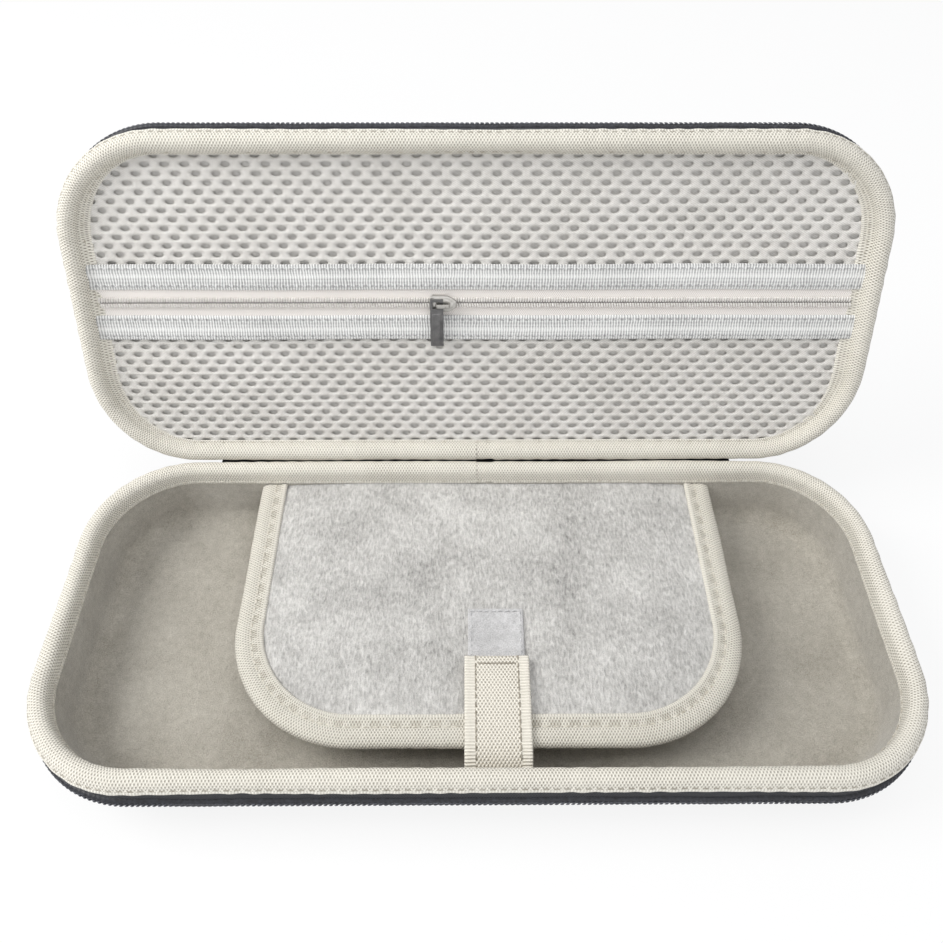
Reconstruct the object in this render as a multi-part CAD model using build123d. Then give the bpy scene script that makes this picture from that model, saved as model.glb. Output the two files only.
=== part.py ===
from build123d import *
import os
from math import tan, radians

os.makedirs("parts", exist_ok=True)

# A soft zip-up case with a lid that swings up and back on a fabric spine.
# Millimetres. The origin is the centre of the base's flat underside.
# X runs along the width, +Y points to the hinge at the rear, +Z is up.
# Each half is drawn with its rim plane at z = 0 and its body below, then put in place.

# Overall sizes
case_width = 310.0
case_depth = 134.0
corner_radius = 40.0
base_height = 34.0
lid_height = 28.0
open_angle = 110.0

# Moulded foam shell
binding_thickness = 1.4
rim_width = 7.0
shell_wall = rim_width - 2 * binding_thickness
shell_draft = 5.0
shell_edge_radius = 12.0
lining_thickness = 1.0
shell_inset = binding_thickness
lining_inset = shell_inset + shell_wall
space_inset = lining_inset + lining_thickness

# Rim binding, a strip folded over the edge of the shell
rim_gap = 0.2
outer_leg = 4.5
inner_leg = 8.0

# Main zip, one half on each rim, open at the rear for the spine
tape_thickness = 0.7
tape_top = 3.0
tape_drop = 15.0
coil_height = 3.2
coil_stand = 1.7
spine_end = 47.0
spine_half = case_width / 2 - spine_end
spine_drop = 14.0

# Hinge line, a little inside the outer face so that both rims clear each other
hinge_y = case_depth / 2 - 1.5
hinge_z = base_height

# Mesh pocket in the lid
mesh_thickness = 1.0
mesh_depth = 5.2
pocket_y = -2.5
pocket_gap = 1.2
pocket_tape = 10.4
ribbon_width = 10.0
ribbon_thickness = 0.8
ribbon_start = 5.3
pocket_coil_width = 1.6
pocket_coil_height = 1.4
mesh_frame = 4.0
mesh_columns = 19
mesh_rows = 6

# Sliders and pulls
slide_clearance = 0.3
slider_length = 10.4
slider_nose = 3.4
slider_tip = 1.5
slider_lip = 0.7
slider_plate = 1.1
slider_x = -13.0
crown_leg = 0.8
crown_half = 2.4
crown_width = 1.6
crown_hole = 1.8
crown_bar = 0.9
pull_width = 5.0
pull_length = 19.0
pull_thickness = 1.0
pull_bar = 0.9
pull_hole = 2.7
rear_slider_x = spine_half + 9.0

# Inner flap with its strap
flap_x = 4.0
flap_width = 187.0
flap_front = -50.5
flap_tuck = 25.0
flap_corner = 46.0
flap_thickness = 4.5
flap_drop = 9.0
flap_top = base_height - flap_drop
flap_binding_width = 10.5
flap_binding_skin = 0.6
strap_x = 6.5
strap_width = 23.0
strap_thickness = 1.5
strap_end = -20.0
patch_width = 20.0
patch_rear = 0.0
patch_front = -38.0
patch_thickness = 1.2
pad_thickness = 0.8


def outline(inset, z):
    """The rounded rectangle of the rim, moved inward by inset."""
    sketch = RectangleRounded(case_width - 2 * inset, case_depth - 2 * inset, corner_radius - inset)
    return Pos(0, 0, z) * sketch


def tub(inset, floor, edge):
    """A drafted tub that fills the outline from the rim plane down to floor."""
    body = extrude(outline(inset, 0), amount=floor, dir=(0, 0, -1), taper=shell_draft)
    bottom = body.faces().sort_by(Axis.Z)[0]
    return fillet(bottom.edges(), edge)


def slab(z_low, z_high):
    """A block that covers the whole outline between two heights."""
    box = Box(2 * case_width, 2 * case_depth, z_high - z_low)
    return Pos(0, 0, (z_low + z_high) / 2) * box


def rear_gap(half_width):
    """The part of the rim at the rear where the spine lies."""
    return Pos(0, case_depth / 2, 0) * Box(2 * half_width, corner_radius, 4 * base_height)


def half_case(height):
    """The sewn parts that the base and the lid have in common."""
    outer = tub(shell_inset, height, shell_edge_radius)
    space = tub(lining_inset, height - shell_wall, shell_edge_radius - shell_wall)
    inner = tub(space_inset, height - shell_wall - lining_thickness, shell_edge_radius - shell_wall - 1)
    shell = (outer - space) & slab(-height - 1, -rim_gap - binding_thickness)
    rim_edges = shell.edges().group_by(Axis.Z)[-1]
    shell = fillet(rim_edges, shell_wall / 2 - 0.15)
    lining = (space - inner) & slab(-height - 1, -inner_leg)

    skirt = tub(shell_inset - tape_thickness, height, shell_edge_radius) - outer
    band = skirt & slab(-tape_drop, -tape_top)
    zip_tape = band - rear_gap(spine_half + 1)
    spine_leaf = (skirt & slab(-spine_drop, -tape_top)) & rear_gap(spine_half)

    bead_outer = tub(shell_inset - tape_thickness - coil_stand, height, shell_edge_radius)
    bead = bead_outer - tub(shell_inset - tape_thickness, height, shell_edge_radius)
    bead = bead & slab(-tape_drop + 0.4, -tape_drop + 0.4 + coil_height)
    zip_coil = bead - rear_gap(spine_half + 4)

    ring = extrude(outline(0, -inner_leg) - outline(rim_width, -inner_leg), amount=inner_leg - rim_gap)
    ring = fillet(ring.edges().group_by(Axis.Z)[-1], rim_width / 2 - 0.1)
    below_outer_leg = extrude(
        outline(-1, -inner_leg - 1) - outline(rim_width / 2, -inner_leg - 1),
        amount=inner_leg + 1 - outer_leg,
    )
    binding = ring - below_outer_leg - outer - zip_tape - spine_leaf
    binding = binding + (ring & (space - inner) & slab(-inner_leg, -rim_gap))
    filler = ring & outer & slab(-rim_gap - binding_thickness, -rim_gap)
    binding = binding + filler - shell
    leg = (ring & space) - shell
    binding = binding + leg
    return {
        "shell": shell,
        "lining": lining,
        "rim_binding": binding,
        "zip_tape": zip_tape,
        "zip_coil": zip_coil,
        "spine_leaf": spine_leaf,
        "space": inner,
    }


def to_base(shape):
    """Lift a half from its own rim plane to the base's place."""
    return Pos(0, 0, base_height) * shape


def to_lid(shape):
    """Turn a half over onto the base, then swing it open to the rest pose."""
    closed = Pos(0, 0, base_height) * mirror(shape, about=Plane.XY)
    hinge = Axis((0, hinge_y, hinge_z), (1, 0, 0))
    return closed.rotate(hinge, -open_angle)


def one_solid(shape):
    """The largest solid of a shape."""
    return shape.solids().sort_by(SortBy.VOLUME)[-1]


def slider_body(gap, coil_width, coil_tall, tape):
    """A zip slider that runs along X. The face of the tape is at z = 0."""
    inside = gap / 2 + coil_width + slide_clearance
    half = inside + slider_lip
    roof = coil_tall + slide_clearance
    back = -slider_length / 2
    front = slider_length / 2
    nose = front - slider_nose
    corners = [(back, -half), (nose, -half), (front, -slider_tip), (front, slider_tip), (nose, half), (back, half)]
    plan = Polygon(*corners, align=None)
    plan = fillet(plan.vertices(), 1.2)
    top = extrude(Pos(0, 0, roof) * plan, amount=slider_plate)
    bottom_z = -tape - slide_clearance - slider_plate
    bottom = extrude(Pos(0, 0, bottom_z) * plan, amount=slider_plate)
    post_tall = roof + tape + slide_clearance + slider_plate
    post_z = roof - post_tall / 2 + 0.2
    post = Pos(nose, 0, post_z) * Box(3.0, gap - 2 * slide_clearance, post_tall)
    lip_tall = roof - slide_clearance
    lip_y = inside + slider_lip / 2
    lip_z = slide_clearance + lip_tall / 2
    lip_long = nose - back - 2.0
    lip_x = (nose + back) / 2
    lip = Pos(lip_x, lip_y, lip_z) * Box(lip_long, slider_lip, lip_tall)
    other = Pos(lip_x, -lip_y, lip_z) * Box(lip_long, slider_lip, lip_tall)
    deck = roof + slider_plate
    arch_tall = crown_hole + crown_bar
    arch = Pos(0, 0, deck + arch_tall / 2) * Box(2 * crown_half + crown_leg, crown_width, arch_tall)
    window = Pos(0, 0, deck + crown_hole / 2) * Box(2 * crown_half - crown_leg, 4, crown_hole)
    arch = fillet((arch - window).edges().filter_by(Axis.Y).group_by(Axis.Z)[-1], 0.7)
    return top + bottom + post + lip + other + arch


def slider_deck(coil_tall):
    """Height of the slider's top face above the tape."""
    return coil_tall + slide_clearance + slider_plate


def pull_tab():
    """A flat pull whose loop goes round a crown leg at the origin. It hangs along +Y."""
    start = -pull_hole / 2 - pull_bar
    tab = Pos(0, start + pull_length / 2, 0) * Box(pull_width, pull_length, pull_thickness)
    tab = fillet(tab.edges().filter_by(Axis.Z), 1.0)
    loop = Box(pull_width - 2 * pull_bar, pull_hole, 4)
    panel_length = pull_length - pull_hole - 2 * pull_bar - 4.0
    panel_y = start + pull_bar + pull_hole + 2.2 + panel_length / 2
    panel = Pos(0, panel_y, pull_thickness / 2) * Box(pull_width - 2.0, panel_length, 0.5)
    return tab - loop - panel


def mesh_holes(x_half, y_low, y_high, rows):
    """Staggered diamond openings inside a strip of the mesh."""
    pitch_x = 2 * x_half / mesh_columns
    pitch_y = (y_high - y_low) / rows
    diamond = Polygon((-pitch_x * 0.3, 0), (0, -pitch_y * 0.56), (pitch_x * 0.3, 0), (0, pitch_y * 0.56))
    places = []
    for row in range(rows):
        shift = 0.25 if row % 2 else -0.25
        for column in range(mesh_columns):
            x = (column + 0.5 + shift - mesh_columns / 2) * pitch_x
            y = y_low + (row + 0.5) * pitch_y
            corner = max(0.0, abs(x) + pitch_x * 0.4 - (case_width / 2 - corner_radius))
            edge = max(0.0, abs(y) + pitch_y * 0.7 - (case_depth / 2 - corner_radius))
            reach = corner_radius - rim_width - 2.0
            if corner * corner + edge * edge < reach * reach:
                places.append(Pos(x, y, 0) * diamond)
    return places


# Base: shell, lining, binding, main zip and spine leaf
base = half_case(base_height)
export_step(to_base(base["shell"]), "parts/base_shell.step")
export_step(to_base(base["lining"]), "parts/base_lining.step")
export_step(to_base(one_solid(base["rim_binding"])), "parts/base_rim_binding.step")
export_step(to_base(base["zip_tape"]), "parts/base_zip_tape.step")
export_step(to_base(base["zip_coil"]), "parts/base_zip_coil.step")
export_step(to_base(base["spine_leaf"]), "parts/base_spine_leaf.step")
base_space = to_base(base["space"])

# Lid: the same parts with a lower shell
lid = half_case(lid_height)
export_step(to_lid(lid["shell"]), "parts/lid_shell.step")
export_step(to_lid(lid["lining"]), "parts/lid_lining.step")
export_step(to_lid(one_solid(lid["rim_binding"])), "parts/lid_rim_binding.step")
export_step(to_lid(lid["zip_tape"]), "parts/lid_zip_tape.step")
export_step(to_lid(lid["zip_coil"]), "parts/lid_zip_coil.step")
export_step(to_lid(lid["spine_leaf"]), "parts/lid_spine_leaf.step")

# Mesh pocket: two mesh panels, zip tapes, coil rows and ribbons over the seams
panel = outline(rim_width, -mesh_depth - mesh_thickness)
panel = extrude(panel, amount=mesh_thickness)
seam = pocket_gap / 2 + pocket_tape
middle = ribbon_start + ribbon_width
inside_half = case_width / 2 - rim_width


def strip(y_low, y_high):
    """A block across the whole lid between two distances from the hinge side."""
    return Pos(0, (y_low + y_high) / 2, 0) * Box(case_width, y_high - y_low, 4 * lid_height)


front_edge = -case_depth / 2 + rim_width
rear_edge = case_depth / 2 - rim_width
upper_mesh = panel & strip(front_edge - 5, pocket_y - seam)
lower_mesh = panel & strip(pocket_y + seam, rear_edge + 5)
upper_low = front_edge + mesh_frame
upper_high = pocket_y - middle - 1.0
lower_low = pocket_y + middle + 1.0
lower_high = rear_edge - mesh_frame
mesh_half = inside_half - mesh_frame
for name, mesh, y_low, y_high in (
    ("mesh_upper", upper_mesh, upper_low, upper_high),
    ("mesh_lower", lower_mesh, lower_low, lower_high),
):
    holes = Sketch() + mesh_holes(mesh_half, y_low, y_high, mesh_rows)
    cutter = extrude(Pos(0, 0, -mesh_depth - mesh_thickness - 1) * holes, amount=mesh_thickness + 2)
    export_step(to_lid(mesh - cutter), "parts/" + name + ".step")

tape_face = -mesh_depth
for name, side in (("upper", -1), ("lower", 1)):
    near = pocket_y + side * pocket_gap / 2
    far = pocket_y + side * seam
    tape = panel & strip(min(near, far), max(near, far))
    export_step(to_lid(tape), "parts/pocket_tape_" + name + ".step")
    row = Box(2 * inside_half - 8, pocket_coil_width, pocket_coil_height)
    row = fillet(row.edges().filter_by(Axis.X).group_by(Axis.Z)[-1], 0.6)
    row_y = pocket_y + side * (pocket_gap + pocket_coil_width) / 2
    row = Pos(0, row_y, tape_face + pocket_coil_height / 2) * row
    export_step(to_lid(row), "parts/pocket_coil_" + name + ".step")
    start = pocket_y + side * ribbon_start
    end = pocket_y + side * middle
    ribbon = extrude(outline(rim_width, tape_face), amount=ribbon_thickness)
    ribbon = ribbon & strip(min(start, end), max(start, end))
    export_step(to_lid(ribbon), "parts/pocket_ribbon_" + name + ".step")

# Pocket slider, with its pull hanging from the left leg of the crown
slider = slider_body(pocket_gap, pocket_coil_width, pocket_coil_height, mesh_thickness)
slider = Pos(slider_x, pocket_y, tape_face) * slider
export_step(to_lid(slider), "parts/pocket_slider.step")
pull_z = slider_deck(pocket_coil_height) + crown_hole / 2
pull = Pos(slider_x - crown_half, pocket_y, tape_face + pull_z) * pull_tab()
export_step(to_lid(pull), "parts/pocket_pull.step")

# Main sliders, parked at the rear ends of the base's zip
coil_middle = base_height - tape_drop + 0.4 + coil_height / 2
tape_line = shell_inset - tape_thickness + (base_height - coil_middle) * tan(radians(shell_draft))
rear_face = case_depth / 2 - tape_line + coil_stand + 0.6
for name, side in (("left", -1), ("right", 1)):
    block = Box(10.5, 3.2, 6.4)
    block = fillet(block.edges().filter_by(Axis.Y), 1.8)
    block = Pos(0, -1.6, 0) * block
    arch_tall = crown_hole + crown_bar
    arch = Pos(0, arch_tall / 2, 0) * Box(2 * crown_half + crown_leg, arch_tall, crown_width)
    window = Pos(0, crown_hole / 2, 0) * Box(2 * crown_half - crown_leg, crown_hole, 4)
    body = Pos(side * rear_slider_x, rear_face, coil_middle) * (block + (arch - window))
    body = body - to_base(base["zip_coil"]) - to_base(base["zip_tape"])
    body = body - to_base(tub(shell_inset, base_height, shell_edge_radius))
    export_step(one_solid(body), "parts/main_slider_" + name + ".step")
    hung = Rot(-90, 0, 0) * pull_tab()
    pull_place = Pos(side * (rear_slider_x + crown_half), rear_face + crown_hole / 2, coil_middle)
    export_step(pull_place * hung, "parts/main_pull_" + name + ".step")

# Inner flap, sewn to the rear wall, with a binding round its free edge
flap_length = case_depth / 2 - flap_front


def flap_outline(inset, z):
    """The flap's outline with round front corners, moved inward by inset."""
    width = flap_width - 2 * inset
    length = flap_length + flap_tuck - inset
    sheet = Pos(flap_x, flap_front + inset + length / 2, z) * Rectangle(width, length)
    corners = sheet.vertices().group_by(Axis.Y)[0]
    return fillet(corners, flap_corner - inset)


under = flap_top - flap_thickness
core = extrude(flap_outline(flap_binding_skin, under), amount=flap_thickness)
core = core & base_space
export_step(one_solid(core), "parts/inner_flap.step")
edge_low = under - flap_binding_skin
edge_tall = flap_thickness + 2 * flap_binding_skin
edge_ring = extrude(flap_outline(0, edge_low), amount=edge_tall)
edge_ring = edge_ring - extrude(flap_outline(flap_binding_width, edge_low), amount=edge_tall)
edge_ring = (edge_ring & base_space) - core
export_step(one_solid(edge_ring), "parts/flap_binding.step")

# Hook patch on the flap, loop pad under the strap, and the strap from the front wall
patch_z = flap_top
patch_mid = (patch_front + patch_rear) / 2
patch = Pos(strap_x, patch_mid, patch_z + patch_thickness / 2)
patch = patch * Box(patch_width, patch_rear - patch_front, patch_thickness)
export_step(patch, "parts/hook_patch.step")
pad_z = patch_z + patch_thickness
pad_mid = (patch_front + strap_end) / 2
pad = Pos(strap_x, pad_mid, pad_z + pad_thickness / 2)
pad = pad * Box(patch_width, strap_end - patch_front, pad_thickness)
export_step(pad, "parts/strap_loop_pad.step")
strap_z = pad_z + pad_thickness
wall_y = -case_depth / 2 + space_inset + 1.0
strap_face = make_face(
    Plane.YZ
    * Polyline(
        (strap_end, strap_z),
        (patch_front - 4, strap_z),
        (flap_front - 1.0, flap_top + flap_binding_skin),
        (wall_y + 1.2, flap_top - 1.0),
        (wall_y + 1.8, flap_top - 12.0),
        (wall_y - 4.0, flap_top - 12.0),
        (wall_y - 4.0, flap_top + 0.6),
        (flap_front - 1.6, flap_top + flap_binding_skin + strap_thickness),
        (patch_front - 4.6, strap_z + strap_thickness),
        (strap_end, strap_z + strap_thickness),
        (strap_end, strap_z),
    )
)
strap = extrude(strap_face, amount=strap_width / 2, both=True)
strap = Pos(strap_x, 0, 0) * strap
strap = strap & base_space
export_step(one_solid(strap - edge_ring), "parts/strap.step")
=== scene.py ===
import math

import bmesh
import bpy
import numpy as np
from mathutils import Matrix, Vector


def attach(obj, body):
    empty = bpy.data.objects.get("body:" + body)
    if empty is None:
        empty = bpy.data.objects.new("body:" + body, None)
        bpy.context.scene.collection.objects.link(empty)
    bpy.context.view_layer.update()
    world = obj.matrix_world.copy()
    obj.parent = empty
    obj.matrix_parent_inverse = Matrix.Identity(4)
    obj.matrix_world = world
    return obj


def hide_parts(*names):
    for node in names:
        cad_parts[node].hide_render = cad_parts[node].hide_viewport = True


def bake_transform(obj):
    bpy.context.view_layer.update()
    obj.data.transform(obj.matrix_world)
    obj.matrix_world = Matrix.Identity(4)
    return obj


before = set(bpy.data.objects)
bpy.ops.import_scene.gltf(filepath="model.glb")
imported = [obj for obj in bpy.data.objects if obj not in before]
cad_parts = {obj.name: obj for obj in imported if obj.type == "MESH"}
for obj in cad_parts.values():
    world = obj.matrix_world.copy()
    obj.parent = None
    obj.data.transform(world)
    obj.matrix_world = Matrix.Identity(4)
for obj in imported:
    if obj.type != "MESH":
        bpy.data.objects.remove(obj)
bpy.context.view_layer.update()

# Sizes in millimetres, as in the part's source. Pieces are drawn in one half's own frame,
# with the rim plane at z = 0 and the body below, and then put in place in metres.
WIDTH = 310.0
DEPTH = 134.0
CORNER = 40.0
BASE_H = 34.0
LID_H = 28.0
OPEN = math.radians(110.0)
HINGE_Y = DEPTH / 2 - 1.5
DRAFT = math.tan(math.radians(5.0))
EDGE = 12.0
RIM = 7.0
SHELL_IN = 1.4
WALL = 4.2
LINING_IN = 6.6
SPINE_HALF = 108.0
MESH_Z = -5.2
POCKET_Y = -2.5
SLIDER_X = -13.0
FLAP_X = 4.0
FLAP_HALF = 93.5
FLAP_FRONT = -50.5
FLAP_CORNER = 46.0
FLAP_TOP = 25.0
FLAP_EDGE = 10.5
STRAP_X = 6.5
STRAP_W = 23.0
FLAP_REAR = 59.4
FLAP_THICK = 4.5
PANEL_INSET = 6.7
PANEL_HALF = 148.0
MM = 1000.0
ACROSS = np.array([1.0, 0.0, 0.0])
AHEAD = np.array([0.0, 1.0, 0.0])
UP = np.array([0.0, 0.0, 1.0])


def base_at(points):
    """Half frame to the base's place, in metres."""
    p = np.array(points, float)
    p[:, 2] += BASE_H
    return p / MM


def lid_at(points):
    """Half frame to the open lid's place, in metres."""
    p = np.array(points, float)
    dy = p[:, 1] - HINGE_Y
    dz = -p[:, 2]
    p[:, 1] = HINGE_Y + dy * math.cos(OPEN) + dz * math.sin(OPEN)
    p[:, 2] = BASE_H - dy * math.sin(OPEN) + dz * math.cos(OPEN)
    return p / MM


def row_at(points):
    """The part's own frame, millimetres to metres."""
    return np.array(points, float) / MM


# Outline of the rim, from the middle of the rear edge round by the right
STRAIGHT_X = WIDTH / 2 - CORNER
STRAIGHT_Y = DEPTH / 2 - CORNER
ARC = CORNER * math.pi / 2
RUNS = [STRAIGHT_X, ARC, 2 * STRAIGHT_Y, ARC, 2 * STRAIGHT_X, ARC, 2 * STRAIGHT_Y, ARC, STRAIGHT_X]
LENGTH = sum(RUNS)


NORMALS = [(0.0, 1.0), (1.0, 0.0), (0.0, -1.0), (-1.0, 0.0), (0.0, 1.0)]
STARTS = [
    (0.0, DEPTH / 2), (WIDTH / 2, STRAIGHT_Y), (STRAIGHT_X, -DEPTH / 2),
    (-WIDTH / 2, -STRAIGHT_Y), (-STRAIGHT_X, DEPTH / 2),
]
CENTRES = [
    (STRAIGHT_X, STRAIGHT_Y), (STRAIGHT_X, -STRAIGHT_Y),
    (-STRAIGHT_X, -STRAIGHT_Y), (-STRAIGHT_X, STRAIGHT_Y),
]


def outline_at(s):
    """Point and outward normal of the rim's outer face at distance s."""
    s = min(max(s, 0.0), LENGTH)
    i = 0
    while i < len(RUNS) - 1 and s > RUNS[i]:
        s -= RUNS[i]
        i += 1
    nx, ny = NORMALS[i // 2]
    if i % 2 == 0:
        x, y = STARTS[i // 2]
        return x + ny * s, y - nx * s, nx, ny
    a = s / CORNER
    n = (nx * math.cos(a) + ny * math.sin(a), ny * math.cos(a) - nx * math.sin(a))
    x, y = CENTRES[i // 2]
    return x + CORNER * n[0], y + CORNER * n[1], *n


def rim_columns(start, end, step):
    """Columns x, y, normal x, normal y, s along the rim."""
    count = max(8, int(round((end - start) / step)))
    rows = []
    for k in range(count + 1):
        s = start + (end - start) * k / count
        rows.append((*outline_at(s), s))
    return np.array(rows)


def waves(s, seed, size, low, high, length=LENGTH):
    """A smooth, repeatable wander at distance s along a path."""
    rng = np.random.default_rng(seed)
    total = 0.0
    for _ in range(10):
        k = rng.integers(low, high)
        total = total + np.sin(2 * math.pi * k * s / length + rng.uniform(0, 6.28)) * rng.uniform(0.4, 1.0)
    return total * size / 3.0


# Meshes
def make_mesh(name, points, faces, material, body, uv=None, flip=False, nodes=()):
    """A mesh object that rides on a body, with UVs given at each point in metres."""
    mesh = bpy.data.meshes.new(name)
    if flip:
        faces = [tuple(reversed(f)) for f in faces]
    mesh.from_pydata([tuple(map(float, p)) for p in points], [], faces)
    if uv is not None:
        layer = mesh.uv_layers.new(name="UVMap")
        index = np.zeros(len(mesh.loops), int)
        mesh.loops.foreach_get("vertex_index", index)
        layer.data.foreach_set("uv", np.asarray(uv, np.float32)[index].ravel())
    mesh.shade_smooth()
    mesh.materials.append(material)
    piece = bpy.data.objects.new(name, mesh)
    bpy.context.scene.collection.objects.link(piece)
    if body:
        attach(piece, body)
    if nodes:
        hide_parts(*nodes)
    return piece


def grid_faces(columns, rows, closed_rows=False):
    """Quads of a grid stored column by column."""
    faces = []
    last = rows if closed_rows else rows - 1
    for i in range(columns - 1):
        for j in range(last):
            k = (j + 1) % rows
            faces.append((i * rows + j, (i + 1) * rows + j, (i + 1) * rows + k, i * rows + k))
    return faces


def sweep(columns, profile, push=None, flare=None):
    """Points and UVs of a profile (inset, height) carried along the rim.

    push moves the surface along its normal, and flare spreads what lies inside the rim's width.
    """
    profile = np.asarray(profile, float)
    step = np.r_[0, np.cumsum(np.linalg.norm(np.diff(profile, axis=0), axis=1))]
    tangent = np.gradient(profile, axis=0)
    tangent /= np.linalg.norm(tangent, axis=1)[:, None] + 1e-9
    side = np.c_[-tangent[:, 1], tangent[:, 0]]
    points = []
    uv = []
    for x, y, nx, ny, s in columns:
        add = np.zeros(len(profile)) if push is None else push(s, step)
        inset = profile[:, 0]
        if flare is not None:
            inset = np.where(inset > RIM, RIM + (inset - RIM) * flare(nx), inset)
        inset = inset + side[:, 0] * add
        points.append(np.c_[x - nx * inset, y - ny * inset, profile[:, 1] + side[:, 1] * add])
        uv.append(np.c_[np.full(len(profile), s), step] / MM)
    return np.vstack(points), np.vstack(uv), len(profile)


def arc(cu, cz, radius, start, end, count):
    """Points of an arc in a profile, angles in degrees."""
    return [
        (cu + radius * math.cos(math.radians(a)), cz + radius * math.sin(math.radians(a)))
        for a in np.linspace(start, end, count)
    ]


def add_stitches(name, places, material, body, size, thick):
    """Thread stitches: each place is a point, a direction and a normal, in metres."""
    stations = [
        (-0.5, 0.15, -0.9), (-0.4, 0.75, -0.2), (-0.2, 1.0, 0.15), (0.0, 1.0, 0.25), (0.2, 1.0, 0.15),
        (0.4, 0.75, -0.2), (0.5, 0.15, -0.9),
    ]
    points = []
    faces = []
    sides = 6
    for place, along, up in places:
        along = along / np.linalg.norm(along)
        across = np.cross(along, up)
        across = across / (np.linalg.norm(across) + 1e-12)
        first = len(points)
        for t, wide, lift in stations:
            centre = place + along * (t * size / MM) + up * (lift * thick / MM)
            for k in range(sides):
                a = 2 * math.pi * k / sides
                ring = across * math.cos(a) + up * (0.8 * math.sin(a))
                points.append(centre + ring * (wide * thick / MM))
        for i in range(len(stations) - 1):
            for k in range(sides):
                m = (k + 1) % sides
                near = first + i * sides
                far = near + sides
                faces.append((near + k, near + m, far + m, far + k))
    return make_mesh(name, points, faces, material, body)


# Materials
class Value:
    """A node's output that can be added, subtracted, multiplied and compared."""

    def __init__(self, nodes, socket):
        self.nodes = nodes
        self.socket = socket

    def __add__(self, other):
        return self.nodes.math("ADD", self, other)

    def __sub__(self, other):
        return self.nodes.math("SUBTRACT", self, other)

    def __rsub__(self, other):
        return self.nodes.math("SUBTRACT", other, self)

    def __mul__(self, other):
        return self.nodes.math("MULTIPLY", self, other)

    def __gt__(self, other):
        return self.nodes.math("GREATER_THAN", self, other)

    def __lt__(self, other):
        return self.nodes.math("LESS_THAN", self, other)


class Nodes:
    """A short way to wire a material."""

    def __init__(self, name, rough, sheen=0.0, spec=0.3, metal=0.0):
        self.material = bpy.data.materials.new(name)
        self.material.use_nodes = True
        self.tree = self.material.node_tree
        self.shader = self.tree.nodes["Principled BSDF"]
        self.shader.inputs["Roughness"].default_value = rough
        self.shader.inputs["Metallic"].default_value = metal
        self.shader.inputs["Specular IOR Level"].default_value = spec
        if sheen:
            self.shader.inputs["Sheen Weight"].default_value = sheen
            self.shader.inputs["Sheen Roughness"].default_value = 0.5

    def link(self, value, target):
        self.tree.links.new(value.socket if isinstance(value, Value) else value, target)

    def math(self, operation, *values):
        node = self.tree.nodes.new("ShaderNodeMath")
        node.operation = operation
        for value, target in zip(values, node.inputs):
            if isinstance(value, (int, float)):
                target.default_value = value
            else:
                self.link(value, target)
        return Value(self, node.outputs[0])

    def split(self, vector):
        node = self.tree.nodes.new("ShaderNodeSeparateXYZ")
        self.link(vector, node.inputs[0])
        return [Value(self, socket) for socket in node.outputs]

    def uv(self):
        return self.split(self.tree.nodes.new("ShaderNodeUVMap").outputs[0])[:2]

    def place(self):
        return self.tree.nodes.new("ShaderNodeTexCoord").outputs["Object"]

    def noise(self, scale, detail=3.0, rough=0.55, vector=None):
        node = self.tree.nodes.new("ShaderNodeTexNoise")
        node.inputs["Scale"].default_value = scale
        node.inputs["Detail"].default_value = detail
        node.inputs["Roughness"].default_value = rough
        self.link(vector or self.place(), node.inputs["Vector"])
        return Value(self, node.outputs["Fac"])

    def wave(self, value, pitch):
        """Sine along a UV or place in metres, with its pitch in millimetres."""
        return self.math("SINE", value * (2 * MM * math.pi / pitch))

    def finish(self, tone, stops, height, depth):
        """Colours a tone, raises a height by a depth in metres, and gives the material."""
        ramp = self.tree.nodes.new("ShaderNodeValToRGB")
        bar = ramp.color_ramp.elements
        while len(bar) < len(stops):
            bar.new(0.5)
        for e, (at, colour) in zip(bar, stops):
            e.position = at
            e.color = (*colour, 1.0)
        self.link(tone, ramp.inputs[0])
        self.link(ramp.outputs[0], self.shader.inputs["Base Color"])
        bump = self.tree.nodes.new("ShaderNodeBump")
        bump.inputs["Distance"].default_value = depth
        bump.inputs["Strength"].default_value = 1.0
        self.link(height, bump.inputs["Height"])
        self.link(bump.outputs[0], self.shader.inputs["Normal"])
        return self.material


def linear(r, g, b):
    """A display colour, 0 to 255, as scene linear."""
    out = []
    for c in (r, g, b):
        c /= 255.0
        out.append(c / 12.92 if c <= 0.04045 else ((c + 0.055) / 1.055) ** 2.4)
    return tuple(out)


def bands(value, edges):
    """1 inside the ranges given in metres, 0 outside, along one UV direction."""
    total = None
    for low, high in edges:
        inside = (value > low) * (value < high)
        total = inside if total is None else total + inside
    return total


def woven(
    name, low, high, warp, weft, depth, rough=0.85, selvage=(), seam=(),
    rib_pitch=1.05, hole_pitch=3.4, hole_depth_and_shade=0.75,
):
    """Plain weave on UVs: light threads with dark gaps at staggered places.

    warp is the pitch of the gaps in a row and weft twice the distance of the rows, in millimetres.
    selvage and seam are ranges of V, in metres, with cross ribs and with a sunk line of needle holes,
    whose darker tone is painted shade of the sunk stitch line.
    """
    n = Nodes(name, rough, 0.15, 0.25)
    u, v = n.uv()
    drift = (n.noise(90.0, 2.0) - 0.5) * 0.0006
    along = u + drift
    height = n.wave(along, warp) * n.wave(v - drift, weft) * 0.5 + 0.5
    if selvage:
        edge = bands(v, selvage)
        height = height * (1.0 - edge) + (n.wave(along, rib_pitch) * 0.38 + 0.72) * edge
    # The seam's needle holes lower the bump and darken the colour; the darker tone is painted shade in the
    # sunk stitch line.
    if seam:
        holes = (n.wave(u, hole_pitch) > -0.2) * bands(v, seam)
        height = height * (1.0 - holes * hole_depth_and_shade)
    grain = n.noise(1700.0, 2.0)
    tone = height * 0.8 + grain * 0.2 + (n.noise(55.0, 4.0) - 0.5) * 0.22
    middle = tuple(0.25 * a + 0.75 * b for a, b in zip(low, high))
    return n.finish(tone, [(0.08, low), (0.42, middle), (0.9, high)], height + grain * 0.3, depth)


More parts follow.
